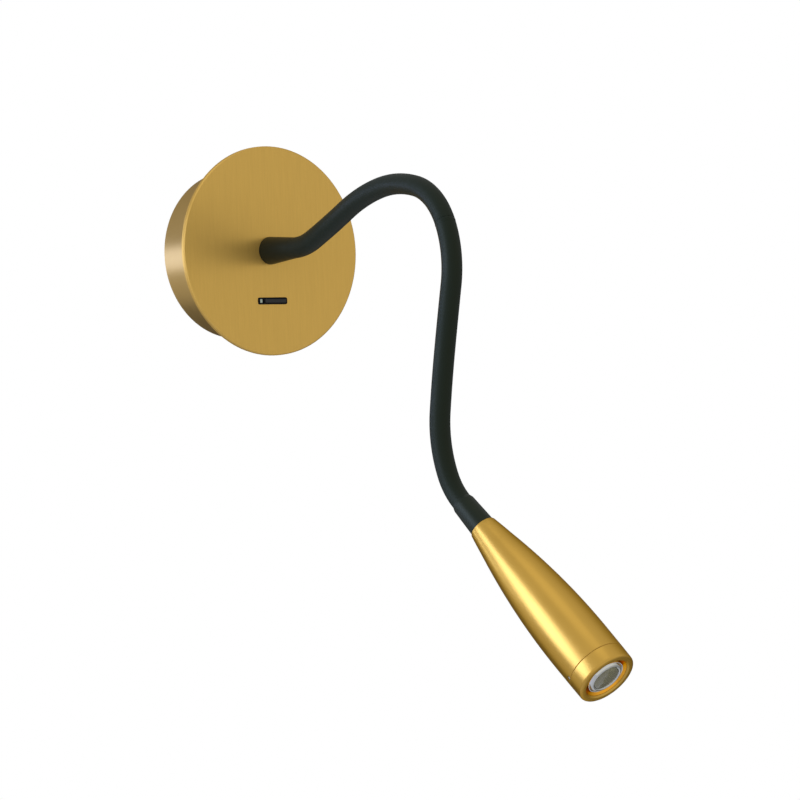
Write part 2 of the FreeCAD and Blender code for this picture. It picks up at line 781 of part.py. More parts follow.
def make_neck_length(number):
    """Length 0 stands on the plate, 1 to LINKS are the links, and the last one enters the head."""
    at_wall = number == 0
    at_head = number == JOINT_COUNT
    suffix = "base" if at_wall else "head" if at_head else "link_%d" % number
    inset = read("Size.core_inset")
    start = 0 if at_wall else joint_distance(number)
    end = neck_length() if at_head else joint_distance(number + 1)
    skin_start = read("Size.flange_thickness") if at_wall else start
    sleeve = "neck_sleeve_" + suffix
    skin = bar_along_neck(sleeve + "_skin", skin_start, end, "Size.neck_diameter / 2", NECK_SIDES)
    bore = bar_along_neck(sleeve + "_bore", start, end, "Size.core_diameter / 2", CORE_SIDES)
    keep(sleeve, carved(sleeve, skin, [bore]), ROW_FRAME)
    core = "neck_core_" + suffix
    bar = bar_along_neck(
        core + "_bar", -inset if at_wall else start, end + inset if at_head else end,
        "Size.core_diameter / 2", CORE_SIDES,
    )
    gaps = []
    if not at_wall:
        gaps.append(joint_gap(core + "_start_gap", number))
    if not at_head:
        gaps.append(joint_gap(core + "_end_gap", number + 1))
    keep(core, carved(core, bar, gaps), ROW_FRAME)


# ---------------------------------------------------------------- head pieces


def make_head_fittings():
    tube = rod("ferrule_tube", "Size.nipple_diameter / 2", "Size.tail_thread", sides=NECK_SIDES)
    bore = rod("ferrule_bore", CORE_HOLE, "Size.tail_thread", sides=NECK_SIDES)
    keep("head_ferrule", carved("head_ferrule", tube, [bore]), HEAD_FRAME)
    keep("head_boot", tapered("head_boot", [
        (NECK_HOLE, "-Size.head_boot_length"),
        ("Size.head_boot_tip / 2", "-Size.head_boot_length"),
        ("Size.head_boot_swell / 2", "Size.head_boot_swell_length - Size.head_boot_length"),
        ("Size.head_boot_base / 2", "0"),
        (NECK_HOLE, "0"),
    ], NECK_SIDES), HEAD_FRAME)


def flank_corners():
    """The shell's flank: chords of one arc that runs smoothly into the straight barrel."""
    corners = []
    for number in range(FLANK_CHORDS + 1):
        share = number / FLANK_CHORDS
        corners.append((
            "%s - (Size.head_diameter - Size.tail_diameter) / 2 * %.4f" % (HEAD_RADIUS, (1 - share) ** 2),
            "Size.head_taper * %.4f" % share,
        ))
    return corners


def make_head_shell():
    core_radius = "Size.nipple_diameter / 2"
    blank = tapered("head_shell_blank", [(core_radius, "0")] + flank_corners() + [
        (HEAD_RADIUS, SEAM + " - Size.seam_bevel"),
        (HEAD_RADIUS + " - Size.seam_bevel", SEAM),
        (THREAD_RADIUS, SEAM),
        (THREAD_RADIUS, "Size.sink_start"),
        ("Size.cavity_front_diameter / 2", "Size.sink_start"),
        ("Size.cavity_front_diameter / 2", "Size.cavity_front"),
        ("Size.cavity_diameter / 2", "Size.cavity_front"),
        ("Size.cavity_diameter / 2", "Size.tail_thread"),
        (core_radius, "Size.tail_thread"),
    ], HEAD_SIDES)
    hole = set_screw_rod("set_screw_hole", "-%d" % OVERCUT, "Size.fit_gap / 2", str(OVERCUT))
    keep("head_shell", carved("head_shell", blank, [hole]), HEAD_FRAME)
    screw = set_screw_rod("set_screw_shank", "0", "0", "-Size.set_screw_inset")
    keep("set_screw", group("set_screw", [screw]), HEAD_FRAME)


def set_screw_rod(name, start_gap, side_gap, past_face):
    """A radial rod through the shell's wall just behind the seam."""
    start = "%s + (%s)" % (THREAD_RADIUS, start_gap)
    length = "%s + (%s) - (%s)" % (HEAD_RADIUS, past_face, start)
    place = (
        "(%s) * cos(Size.set_screw_angle * 1 deg)" % start,
        "(%s) * sin(Size.set_screw_angle * 1 deg)" % start,
        SEAM + " - Size.set_screw_back",
    )
    item = rod(name, "Size.set_screw_diameter / 2 + %s" % side_gap, length, place)
    item.Placement.Rotation = Rotation(Vector(0, 0, 1), read("Size.set_screw_angle")).multiply(AXES["x"])
    return item


def rim_corners():
    """The cap's rounded rim in chords, from the barrel to the face."""
    corners = []
    for number in range(RIM_CHORDS + 1):
        angle = math.pi / 2 * number / RIM_CHORDS
        corners.append((
            "%s - Size.rim_round * %.4f" % (HEAD_RADIUS, 1 - math.cos(angle)),
            "Size.head_length - Size.rim_round * %.4f" % (1 - math.sin(angle)),
        ))
    return corners


def make_front_cap():
    spigot = SEAM + " - Size.cap_spigot"
    spigot_radius = THREAD_RADIUS + " - Size.fit_gap / 2"
    keep("front_cap", tapered("front_cap", [
        (SPIGOT_BORE, spigot),
        (spigot_radius, spigot),
        (spigot_radius, SEAM),
        (HEAD_RADIUS + " - Size.seam_bevel", SEAM),
        (HEAD_RADIUS, SEAM + " + Size.seam_bevel"),
    ] + rim_corners() + [
        ("Size.mouth_diameter / 2 + Size.mouth_bevel", "Size.head_length"),
        ("Size.mouth_diameter / 2", "Size.head_length - Size.mouth_bevel"),
        ("Size.window_diameter / 2", MOUTH_FLOOR),
        ("Size.window_diameter / 2", LIP_BACK),
        (SPIGOT_BORE, LIP_BACK),
    ], HEAD_SIDES), HEAD_FRAME)
    seal_back = LIP_BACK + " - Size.seal_thickness"
    ring = rod("seal_outside", SPIGOT_BORE + " - Size.fit_gap", "Size.seal_thickness",
               ("0", "0", seal_back), sides=HEAD_SIDES)
    hole = rod("seal_hole", "Size.window_diameter / 2", "Size.seal_thickness",
               ("0", "0", seal_back), sides=HEAD_SIDES)
    keep("seal_ring", carved("seal_ring", ring, [hole]), HEAD_FRAME)


# The seal presses the lens's flange onto the reflector's, and its dome comes out through the window.
LENS_SEAT = "(%s - Size.seal_thickness)" % LIP_BACK
LENS_BACK = "(%s - Size.lens_flange)" % LENS_SEAT
LENS_FRONT = "(Size.head_length - Size.lens_setback)"
LENS_RADIUS = "(Size.window_diameter / 2 - Size.fit_gap)"


def dome_corners():
    """The lens's rounded shoulder in chords, from its side to its flat top."""
    corners = []
    for number in range(LENS_CHORDS + 1):
        angle = math.pi / 2 * number / LENS_CHORDS
        corners.append((
            "%s - (%s - Size.lens_top_diameter / 2) * %.4f" % (LENS_RADIUS, LENS_RADIUS, 1 - math.cos(angle)),
            "%s - Size.lens_dome * %.4f" % (LENS_FRONT, 1 - math.sin(angle)),
        ))
    return corners


def make_optics():
    flange_back = LENS_BACK + " - Size.reflector_flange"
    flange_radius = SPIGOT_BORE + " - Size.fit_gap"
    foot = EMITTER_FRONT + " + Size.stack_gap"
    keep("reflector", tapered("reflector", [
        ("Size.reflector_foot / 2", foot),
        ("Size.reflector_foot / 2 + Size.reflector_wall", foot),
        ("Size.reflector_mouth / 2 + Size.reflector_wall", flange_back),
        (flange_radius, flange_back),
        (flange_radius, LENS_BACK),
        ("Size.reflector_mouth / 2", LENS_BACK),
    ], HEAD_SIDES), HEAD_FRAME)
    keep("lens", tapered("lens", [
        ("0", LENS_BACK),
        (flange_radius, LENS_BACK),
        (flange_radius, LENS_SEAT),
        (LENS_RADIUS, LENS_SEAT),
    ] + dome_corners() + [
        ("0", LENS_FRONT),
    ], HEAD_SIDES), HEAD_FRAME)


def across_head(name, radius, length, at, sides):
    """Rods parallel to the beam on the board's screw circle, at the given sides."""
    rods = []
    for side, (along, up) in enumerate(sides):
        place = (
            "%d * Size.board_screw_circle / 2" % along,
            "%d * Size.board_screw_circle / 2" % up,
            at,
        )
        rods.append(rod("%s_%d" % (name, side), radius, length, place))
    return rods


SCREW_SIDES = ((1, 0), (-1, 0))
LEAD_SIDES = ((0, 1),)


def make_light_engine():
    shank_start = BOARD_FRONT + " - Size.board_screw_length"
    sink = rod("sink_slug", THREAD_RADIUS, "Size.sink_length", ("0", "0", "Size.sink_start"),
               sides=HEAD_SIDES)
    tools = across_head("sink_screw_hole", "Size.board_screw_diameter / 2", "Size.board_screw_length",
                        shank_start, SCREW_SIDES)
    tools += across_head("sink_lead_hole", "Size.lead_hole / 2", "Size.sink_length",
                         "Size.sink_start", LEAD_SIDES)
    keep("heat_sink", carved("heat_sink", sink, tools), HEAD_FRAME)
    board = rod("board_disc", "Size.board_diameter / 2", "Size.board_thickness", ("0", "0", BOARD_BACK),
                sides=HEAD_SIDES)
    tools = across_head("board_screw_hole", "Size.board_screw_diameter / 2 + Size.screw_gap",
                        "Size.board_thickness", BOARD_BACK, SCREW_SIDES)
    tools += across_head("board_lead_hole", "Size.lead_hole / 2", "Size.board_thickness",
                         BOARD_BACK, LEAD_SIDES)
    keep("led_board", carved("led_board", board, tools), HEAD_FRAME)
    emitter = rod("emitter_disc", "Size.emitter_diameter / 2", "Size.emitter_height",
                  ("0", "0", BOARD_FRONT), sides=NECK_SIDES)
    keep("led_emitter", group("led_emitter", [emitter]), HEAD_FRAME)
    shanks = across_head("board_screw_shank", "Size.board_screw_diameter / 2", "Size.board_screw_length",
                         shank_start, SCREW_SIDES)
    heads = across_head("board_screw_top", "Size.board_screw_head / 2", "Size.board_screw_head_height",
                        BOARD_FRONT, SCREW_SIDES)
    screws = [
        joined("board_screw_%d" % number, [shank, head])
        for number, (shank, head) in enumerate(zip(shanks, heads))
    ]
    keep("board_screws", group("board_screws", screws), HEAD_FRAME)


# ---------------------------------------------------------------- build, check and write


def build():
    make_front_plate()
    make_drum()
    make_bracket()
    make_side_screws()
    make_earth_screw()
    make_studs()
    make_driver()
    make_terminals()
    make_switch()
    make_rocker()
    make_neck_fittings()
    for number in range(JOINT_COUNT + 1):
        make_neck_length(number)
    make_head_fittings()
    make_head_shell()
    make_front_cap()
    make_optics()
    make_light_engine()
    doc.recompute()
    for item, frame in NODES.values():
        item.Placement = frame
    doc.recompute()


def check():
    """Stops on any failed object, and on any piece without a sound solid."""
    for item in doc.Objects:
        if "Invalid" in item.State or "Error" in item.State:
            raise RuntimeError("%s failed: %s" % (item.Label, item.State))
    for name, (item, frame) in NODES.items():
        shape = item.Shape
        if shape.isNull() or not shape.isValid() or not shape.Solids or shape.Volume <= 0:
            raise RuntimeError("%s has no sound solid" % name)


def write():
    os.makedirs("parts", exist_ok=True)
    for name, (item, frame) in NODES.items():
        item.Shape.exportStep(os.path.join("parts", name + ".step"))


build()
check()
write()
print("%d pieces, neck %.1f mm from plate to shell" % (len(NODES), neck_length()))
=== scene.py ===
"""Looks of the bedside wall reading lamp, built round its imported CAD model.

Everything is in metres in the row frame: the wall is y = 0, the lamp stands out towards -Y and
+Z is up. Head pieces are turned about the head's own axis, which runs from the neck to the light.
"""
import json
import math

import bmesh
import bpy
from mathutils import Matrix, Quaternion, Vector


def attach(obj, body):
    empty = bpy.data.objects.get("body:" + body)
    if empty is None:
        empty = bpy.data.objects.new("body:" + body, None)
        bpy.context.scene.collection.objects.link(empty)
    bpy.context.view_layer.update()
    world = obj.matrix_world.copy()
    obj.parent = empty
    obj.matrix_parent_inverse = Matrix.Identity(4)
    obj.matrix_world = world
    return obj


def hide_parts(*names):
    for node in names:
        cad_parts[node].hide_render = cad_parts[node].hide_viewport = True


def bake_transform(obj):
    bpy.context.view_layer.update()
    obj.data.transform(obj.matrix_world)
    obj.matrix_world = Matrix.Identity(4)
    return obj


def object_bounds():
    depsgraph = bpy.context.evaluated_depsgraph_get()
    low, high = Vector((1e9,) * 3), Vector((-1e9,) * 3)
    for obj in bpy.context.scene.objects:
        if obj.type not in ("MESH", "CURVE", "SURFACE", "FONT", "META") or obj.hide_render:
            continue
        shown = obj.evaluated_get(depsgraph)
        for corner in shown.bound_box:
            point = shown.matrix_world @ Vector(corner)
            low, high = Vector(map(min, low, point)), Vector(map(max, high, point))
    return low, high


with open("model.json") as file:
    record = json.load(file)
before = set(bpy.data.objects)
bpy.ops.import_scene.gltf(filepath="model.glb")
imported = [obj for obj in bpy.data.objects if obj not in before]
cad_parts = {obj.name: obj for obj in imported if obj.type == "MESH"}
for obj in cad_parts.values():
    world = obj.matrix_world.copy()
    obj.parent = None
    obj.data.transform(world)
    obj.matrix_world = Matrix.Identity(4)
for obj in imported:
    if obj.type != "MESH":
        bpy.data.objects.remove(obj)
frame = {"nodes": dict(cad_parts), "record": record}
cad_low, cad_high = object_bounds()
MM = 0.001

# ---------------------------------------------------------------- camera

# The photograph's view: what each row axis does to the right and up on the picture.
PIXELS_PER_M = 2107.0
PICTURE = 800.0
AXIS_IN = Vector((0.819, -0.572, -0.045))
AXIS_UP = Vector((0.0105, -0.0633, 0.998))
PLATE_FACE_Y = -31 * MM
PLATE_CENTRE_PX = (269.6, 249.9)
CAMERA_DISTANCE = 16.0
SENSOR = 36.0


def make_camera():
    """Looks from the photograph's side, and returns its right, up and back directions."""
    right = AXIS_IN.normalized()
    back = right.cross(AXIS_UP).normalized()
    up = back.cross(right).normalized()
    offset_right = (PICTURE / 2 - PLATE_CENTRE_PX[0]) / PIXELS_PER_M
    offset_up = (PLATE_CENTRE_PX[1] - PICTURE / 2) / PIXELS_PER_M
    target = Vector((0, PLATE_FACE_Y, 0)) + right * offset_right + up * offset_up
    # The lamp's middle depth is kept at the measured scale.
    middle = (cad_low + cad_high) / 2
    target += back * (middle - target).dot(back)
    data = bpy.data.cameras.new("camera")
    data.sensor_width = SENSOR
    data.lens = SENSOR * CAMERA_DISTANCE * PIXELS_PER_M / PICTURE
    data.clip_start = 0.1
    data.clip_end = 100
    camera = bpy.data.objects.new("camera", data)
    camera.matrix_world = Matrix((
        (right.x, up.x, back.x, 0),
        (right.y, up.y, back.y, 0),
        (right.z, up.z, back.z, 0),
        (0, 0, 0, 1),
    ))
    camera.location = target + back * CAMERA_DISTANCE
    bpy.context.scene.collection.objects.link(camera)
    bpy.context.scene.camera = camera
    return right, up, back


VIEW_RIGHT, VIEW_UP, VIEW_BACK = make_camera()

# ---------------------------------------------------------------- route of the neck

REST_PITCH = (21.3, 3.3, -15.2, -23.2, -52.2, -38.6, 1, -1.3, 25.6, 30.1)
REST_YAW = (0, 0, 0, 0, 0, 0, 0, 3.4, 7, 4.1)
LINK = 30.5 * MM
NECK_STRAIGHT = 21 * MM
HEAD_BOOT = 16 * MM
NECK_RADIUS = 5 * MM
JOINTS = 9


def stretches():
    """Length, pitch and yaw (degrees) of each stretch, from the plate to the head's tail."""
    lengths = [LINK / 2] + [LINK] * (JOINTS - 1) + [LINK / 2]
    return [(NECK_STRAIGHT, 0, 0)] + list(zip(lengths, REST_PITCH, REST_YAW)) + [(HEAD_BOOT, 0, 0)]


def along_arc(length, pitch, yaw, distance):
    """The placement so far along one stretch, as seen from its start."""
    turn = math.radians(math.hypot(pitch, yaw))
    if turn == 0:
        return Matrix.Translation((0, 0, distance))
    axis = Vector((-pitch, yaw, 0)).normalized()
    inward = axis.cross(Vector((0, 0, 1)))
    radius = length / turn
    angle = distance / radius
    point = inward * radius * (1 - math.cos(angle)) + Vector((0, 0, radius * math.sin(angle)))
    return Matrix.Translation(point) @ Quaternion(axis, angle).to_matrix().to_4x4()


# Turns a piece's own z axis, which leads out from the wall, into the row's -Y.
WALL = Matrix.Rotation(math.radians(90), 4, "X")


def along_neck(distance):
    """The placement so far along the hose. Its z axis runs along the hose."""
    place = WALL @ Matrix.Translation((0, 0, -PLATE_FACE_Y))
    left = distance
    for length, pitch, yaw in stretches():
        step = min(left, length)
        place = place @ along_arc(length, pitch, yaw, step)
        left -= step
    return place @ Matrix.Translation((0, 0, left))


NECK_LENGTH = sum(stretch[0] for stretch in stretches())
HEAD = along_neck(NECK_LENGTH)


def joint_distance(number):
    """How far along the hose a hinge is."""
    return NECK_STRAIGHT + (number - 0.5) * LINK


# ---------------------------------------------------------------- mesh helpers


SHARP = 35


def add_object(name, mesh, body, slot, sharp=SHARP, material=None):
    """A piece in its slot's material or in another, smooth but for edges over the sharp angle."""
    for polygon in mesh.polygons:
        polygon.use_smooth = True
    mesh.set_sharp_from_angle(angle=math.radians(sharp))
    item = bpy.data.objects.new(name, mesh)
    bpy.context.scene.collection.objects.link(item)
    if body:
        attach(item, body)
    item.data.materials.append(MATERIALS[material or slot])
    return item


ROUND_STEPS = 6
LONGEST_REACH = 0.49
ON_AXIS = 1e-6
LATHE_SIDES = 144


def softened(corners):
    """An outline with rounded corners, from (radius, height, rounding) in millimetres.

    A rounding ends before the middle of each side, however short the side is.
    """
    points = []
    count = len(corners)
    for place, (x, y, rounding) in enumerate(corners):
        here = Vector((x, y))
        if not rounding:
            points.append(here)
            continue
        before = Vector(corners[place - 1][:2]) - here
        after = Vector(corners[(place + 1) % count][:2]) - here
        half = before.angle(after) / 2
        reach = min(rounding / math.tan(half), LONGEST_REACH * min(before.length, after.length))
        start = here + before.normalized() * reach
        end = here + after.normalized() * reach
        for step in range(ROUND_STEPS + 1):
            share = step / ROUND_STEPS
            rest = 1 - share
            points.append(start * rest**2 + here * 2 * share * rest + end * share**2)
    return points


def lathe(name, corners, place, body, slot, sides=LATHE_SIDES, sharp=SHARP, material=None):
    """A closed turned piece about the z axis of a placement."""
    outline = softened(corners)
    builder = bmesh.new()
    rings = []
    for point in outline:
        ring = []
        if point.x < ON_AXIS:
            ring = [builder.verts.new(place @ Vector((0, 0, point.y * MM)))] * sides
        else:
            for side in range(sides):
                angle = 2 * math.pi * side / sides
                local = Vector((point.x * math.cos(angle), point.x * math.sin(angle), point.y)) * MM
                ring.append(builder.verts.new(place @ local))
        rings.append(ring)
    for number, ring in enumerate(rings):
        following = rings[(number + 1) % len(rings)]
        for side in range(sides):
            other = (side + 1) % sides
            corner = []
            for vert in (ring[side], ring[other], following[other], following[side]):
                if vert not in corner:
                    corner.append(vert)
            if len(corner) > 2:
                builder.faces.new(corner)
    bmesh.ops.recalc_face_normals(builder, faces=builder.faces)
    mesh = bpy.data.meshes.new(name)
    builder.to_mesh(mesh)
    builder.free()
    return add_object(name, mesh, body, slot, sharp, material)


HOSE_SIDES = 56
HOSE_PITCH = 1.1 * MM
HOSE_SHARP = 60


def tube(name, start, end, slot):
    """A closed length of hose along the neck, with no body yet."""
    count = max(2, round((end - start) / HOSE_PITCH))
    builder = bmesh.new()
    rings = []
    for number in range(count + 1):
        place = along_neck(start + (end - start) * number / count)
        ring = []
        for side in range(HOSE_SIDES):
            angle = 2 * math.pi * side / HOSE_SIDES
            local = Vector((NECK_RADIUS * math.cos(angle), NECK_RADIUS * math.sin(angle), 0))
            ring.append(builder.verts.new(place @ local))
        rings.append(ring)
    for ring, following in zip(rings, rings[1:]):
        for side in range(HOSE_SIDES):
            other = (side + 1) % HOSE_SIDES
            builder.faces.new((ring[side], ring[other], following[other], following[side]))
    builder.faces.new(list(reversed(rings[0])))
    builder.faces.new(rings[-1])
    mesh = bpy.data.meshes.new(name)
    builder.to_mesh(mesh)
    builder.free()
    return add_object(name, mesh, None, slot, HOSE_SHARP)


# ---------------------------------------------------------------- materials

MATERIALS = {}
NOISE_LOW = 0.3
NOISE_HIGH = 0.7


class Shader:
    """A material with one Principled shader and short ways to wire its details."""

    def __init__(self, name, color, metallic=0.0, roughness=0.5, **settings):
        self.material = bpy.data.materials.new(name)
        self.material.use_nodes = True
        self.tree = self.material.node_tree
        self.shader = self.tree.nodes["Principled BSDF"]
        self.set("Base Color", (*color, 1))
        self.set("Metallic", metallic)
        self.set("Roughness", roughness)
        for key, value in settings.items():
            self.set(key.replace("_", " "), value)
        self.color = color
        self.roughness = roughness
        coordinates = self.tree.nodes.new("ShaderNodeTexCoord")
        self.position = coordinates.outputs["Object"]
        MATERIALS[name] = self.material

    def set(self, socket, value):
        self.shader.inputs[socket].default_value = value

    def noise(self, scale, stretch=(1, 1, 1), detail=3.0, roughness=0.5):
        mapping = self.tree.nodes.new("ShaderNodeMapping")
        mapping.inputs["Scale"].default_value = stretch
        self.tree.links.new(self.position, mapping.inputs["Vector"])
        noise = self.tree.nodes.new("ShaderNodeTexNoise")
        noise.inputs["Scale"].default_value = scale
        noise.inputs["Detail"].default_value = detail
        noise.inputs["Roughness"].default_value = roughness
        self.tree.links.new(mapping.outputs["Vector"], noise.inputs["Vector"])
        return noise.outputs["Fac"]

    def ramp(self, value, low, high):
        """Low to high over the values that a noise mostly takes."""
        node = self.tree.nodes.new("ShaderNodeMapRange")
        node.inputs["From Min"].default_value = NOISE_LOW
        node.inputs["From Max"].default_value = NOISE_HIGH
        node.inputs["To Min"].default_value = low
        node.inputs["To Max"].default_value = high
        self.tree.links.new(value, node.inputs["Value"])
        return node.outputs["Result"]

    def vary_color(self, value, low, high):
        """Multiplies the base colour by low to high as value goes from dark to light."""
        mix = self.tree.nodes.new("ShaderNodeMix")
        mix.data_type = "RGBA"
        mix.inputs["A"].default_value = (*[c * low for c in self.color], 1)
        mix.inputs["B"].default_value = (*[min(c * high, 1) for c in self.color], 1)
        self.tree.links.new(self.ramp(value, 0, 1), mix.inputs["Factor"])
        self.tree.links.new(mix.outputs["Result"], self.shader.inputs["Base Color"])

    def vary_roughness(self, value, spread):
        """Varies the roughness by the spread up and down."""
        result = self.ramp(value, self.roughness - spread, self.roughness + spread)
        self.tree.links.new(result, self.shader.inputs["Roughness"])

    def bump(self, value, distance, strength):
        """Raises the surface by up to the distance, in metres."""
        node = self.tree.nodes.new("ShaderNodeBump")
        node.inputs["Distance"].default_value = distance
        node.inputs["Strength"].default_value = strength
        self.tree.links.new(value, node.inputs["Height"])
        self.tree.links.new(node.outputs["Normal"], self.shader.inputs["Normal"])


BRUSH_DEPTH = 0.00002


def brushed(name, color, roughness, streak, tint, spread):
    """Gold with upright brush lines, which spread a reflection sideways: streak is lines to a metre."""
    item = Shader(name, color, 0.8, roughness, Specular_Tint=(*tint, 1), Anisotropic=0.75)
    across = item.tree.nodes.new("ShaderNodeTangent")
    across.direction_type = "RADIAL"
    across.axis = "Z"
    item.tree.links.new(across.outputs["Tangent"], item.shader.inputs["Tangent"])
    lines = item.noise(1.0, (streak, streak, streak / 40), 5.0, 0.7)
    broad = item.noise(1.0, (streak / 3, streak / 3, streak / 90), 2.0)
    item.vary_color(lines, 0.955, 1.045)
    item.vary_roughness(broad, spread)
    item.bump(lines, BRUSH_DEPTH, 0.3)


def satin(name, color, roughness, tint, grain=5200, depth=0.000012, **settings):
    """Fine-blasted metal: grain is the scale of its noise, and depth is in metres."""
    item = Shader(name, color, 1.0, roughness, Specular_Tint=(*tint, 1), **settings)
    fine = item.noise(grain, detail=2.0)
    broad = item.noise(38, detail=2.0)
    item.vary_color(broad, 0.97, 1.03)
    item.vary_roughness(broad, 0.02)
    item.bump(fine, depth, 0.3)


def moulded(name, color, roughness, grain=2600, depth=0.00002, spread=0.05, **settings):
    """Plastic or rubber with a fine grain. The spread is of its roughness."""
    item = Shader(name, color, 0.0, roughness, **settings)
    fine = item.noise(grain, detail=2.0)
    broad = item.noise(60, detail=3.0)
    item.vary_color(broad, 0.93, 1.07)
    item.vary_roughness(broad, spread)
    item.bump(fine, depth, 0.4)


HOSE_BLACK = (0.004, 0.0082, 0.0067)
HOSE_TINT = (0.95, 1, 0.6, 1)


def make_materials():
    brushed("plate_gold", (0.575, 0.358, 0.083), 0.38, 2600, (0.75, 0.6, 0.4), 0.02)
    satin("drum_gold", (0.445, 0.3, 0.112), 0.32, (0.8, 0.7, 0.55))
    # A dark metal that is painted shadow: it colours the ring behind the plate's back edge.
    satin("painted_gap_shadow", (0.07, 0.05, 0.025), 0.5, (0.3, 0.25, 0.2))
    satin("head_gold", (0.47, 0.282, 0.055), 0.32, (0.78, 0.6, 0.38))
    satin("zinc_steel", (0.6, 0.61, 0.62), 0.35, (0.9, 0.9, 0.9), 900, 0.00003)
    satin("nipple_steel", (0.6, 0.6, 0.58), 0.25, (0.9, 0.9, 0.9), 1500)
    moulded("sleeve_black", HOSE_BLACK, 0.5, 3000, 0.000006, Specular_IOR_Level=0.18,
            Specular_Tint=HOSE_TINT)
    moulded("boot_black", HOSE_BLACK, 0.45, 3000, 0.000006, Specular_IOR_Level=0.2,
            Specular_Tint=HOSE_TINT)
    satin("core_steel", (0.2, 0.2, 0.21), 0.4, (0.8, 0.8, 0.8), 1200)
    moulded("driver_white", (0.72, 0.72, 0.69), 0.5, 1400)
    moulded("foam_grey", (0.05, 0.05, 0.052), 0.95, 900, 0.0002, 0.02)
    moulded("terminal_white", (0.74, 0.72, 0.62), 0.4, 1600)
    satin("terminal_brass", (0.56, 0.42, 0.16), 0.3, (0.8, 0.7, 0.5), 1200, 0.00003)
    moulded("switch_black", (0.003, 0.003, 0.0035), 0.35, 2400, 0.000008, Specular_IOR_Level=0.07)
    moulded("rocker_grey", (0.012, 0.013, 0.0135), 0.35, 2400, 0.000008, Specular_IOR_Level=0.25)
    # The pale mark on the rocker's raised end is a painted highlight, where that end catches the light.
    moulded("mark_pale", (0.4, 0.47, 0.38), 0.4, 3000, 0.000005)
    satin("sink_aluminium", (0.7, 0.71, 0.72), 0.35, (0.9, 0.9, 0.9), 1200)
    moulded("board_white", (0.8, 0.8, 0.77), 0.35, 2000)
    moulded("emitter_yellow", (0.8, 0.62, 0.12), 0.45, 3200)
    satin("reflector_silver", (0.8, 0.81, 0.8), 0.1, (0.9, 0.93, 0.97), 2600, 0.000003)
    satin("lens_edge", (0.52, 0.52, 0.48), 0.08, (0.8, 0.85, 0.9), 2600, 0.000003)
    # A brighter, more orange copy of head_gold for the recess wall: polished, and painted light for the
    # glow bounced round the recess.
    satin("mouth_gold_painted_bounce", (0.72, 0.33, 0.028), 0.22, (0.8, 0.5, 0.2))
    moulded("lens_clear", (0.31, 0.29, 0.15), 0.12, 900, 0.000004, 0.03,
            Transmission_Weight=0.6, IOR=1.49, Coat_Weight=0.5, Coat_Roughness=0.05)
    moulded("seal_black", (0.012, 0.012, 0.012), 0.6)


make_materials()


def dress_cad_nodes():
    """Gives each CAD node the material of its slot."""
    slots = {part["node"]: part["material_slot"] for part in frame["record"]["subparts"]}
    for name, item in frame["nodes"].items():
        item.data.materials.clear()
        item.data.materials.append(MATERIALS[slots[name]])


dress_cad_nodes()


BEVEL_SEGMENTS = 2
BEVEL_ANGLE = math.radians(50)


def soften_edges(names, width):
    """A small bevel on a machined or moulded CAD node's edges."""
    for name in names:
        item = frame["nodes"][name]
        bevel = item.modifiers.new("edge", "BEVEL")
        bevel.width = width
        bevel.segments = BEVEL_SEGMENTS
        bevel.limit_method = "ANGLE"
        bevel.angle_limit = BEVEL_ANGLE


# ---------------------------------------------------------------- neck

HOSE_START = 1.5 * MM
HINGE_QUIET = 2 * MM
KNUCKLE = 5
KNUCKLE_GAP = 1.2 * MM
KNUCKLE_RADIUS = 5.08
BALL_STEPS = 16


def make_knuckle(start, end):
    """The neck's tightest bend: two rigid halves that meet on a ball."""
    before = "link_%d" % (KNUCKLE - 1)
    after = "link_%d" % KNUCKLE
    middle = joint_distance(KNUCKLE)
    near = tube("neck_hose_%d" % KNUCKLE, start, middle - KNUCKLE_GAP, "sleeve_black")
    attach(near, before)
    far = tube("neck_hose_%d_far" % KNUCKLE, middle + KNUCKLE_GAP, end, "sleeve_black")
    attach(far, after)
    outline = []
    for step in range(BALL_STEPS + 1):
        angle = math.pi * step / BALL_STEPS
        outline.append((KNUCKLE_RADIUS * math.sin(angle), -KNUCKLE_RADIUS * math.cos(angle), 0))
    place = along_neck(middle)
    ball = lathe("neck_knuckle", outline, place, before, "sleeve_black", sides=HOSE_SIDES)
    for piece in (near, ball):
        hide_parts("neck_sleeve_" + before)


def make_neck():
    """The hose in one length for each hinge, from halfway to the hinge before to halfway to the next."""
    bodies = ["base"] + ["link_%d" % number for number in range(1, JOINTS)] + ["head"]
    ends = [HOSE_START]
    for number in range(1, JOINTS):
        ends.append((joint_distance(number) + joint_distance(number + 1)) / 2)
    ends.append(NECK_LENGTH)
    reach = LINK / 2 - HINGE_QUIET
    for number in range(1, JOINTS + 1):
        start = ends[number - 1]
        end = ends[number]
        if number == KNUCKLE:
            make_knuckle(start, end)
            continue
        piece = tube("neck_hose_%d" % number, start, end, "sleeve_black")
        middle = joint_distance(number)
        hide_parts("neck_sleeve_" + bodies[number - 1])
        if number == JOINTS:
            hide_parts("neck_sleeve_head")
        along_neck(middle - reach).translation
        along_neck(middle + reach).translation
        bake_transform(piece)


make_neck()

# ---------------------------------------------------------------- boots

# Sizes of turned pieces from here on are millimetres: (radius, height, rounding).
BOOT_INSIDE = 5.02
BOOT_FOOT = 31.02
BOOT_TIP = 51.4
BOOT_TIP_INSIDE = 5.01
CUFF_START = -16.0
TAIL_START = 1.9
FIT = 0.02


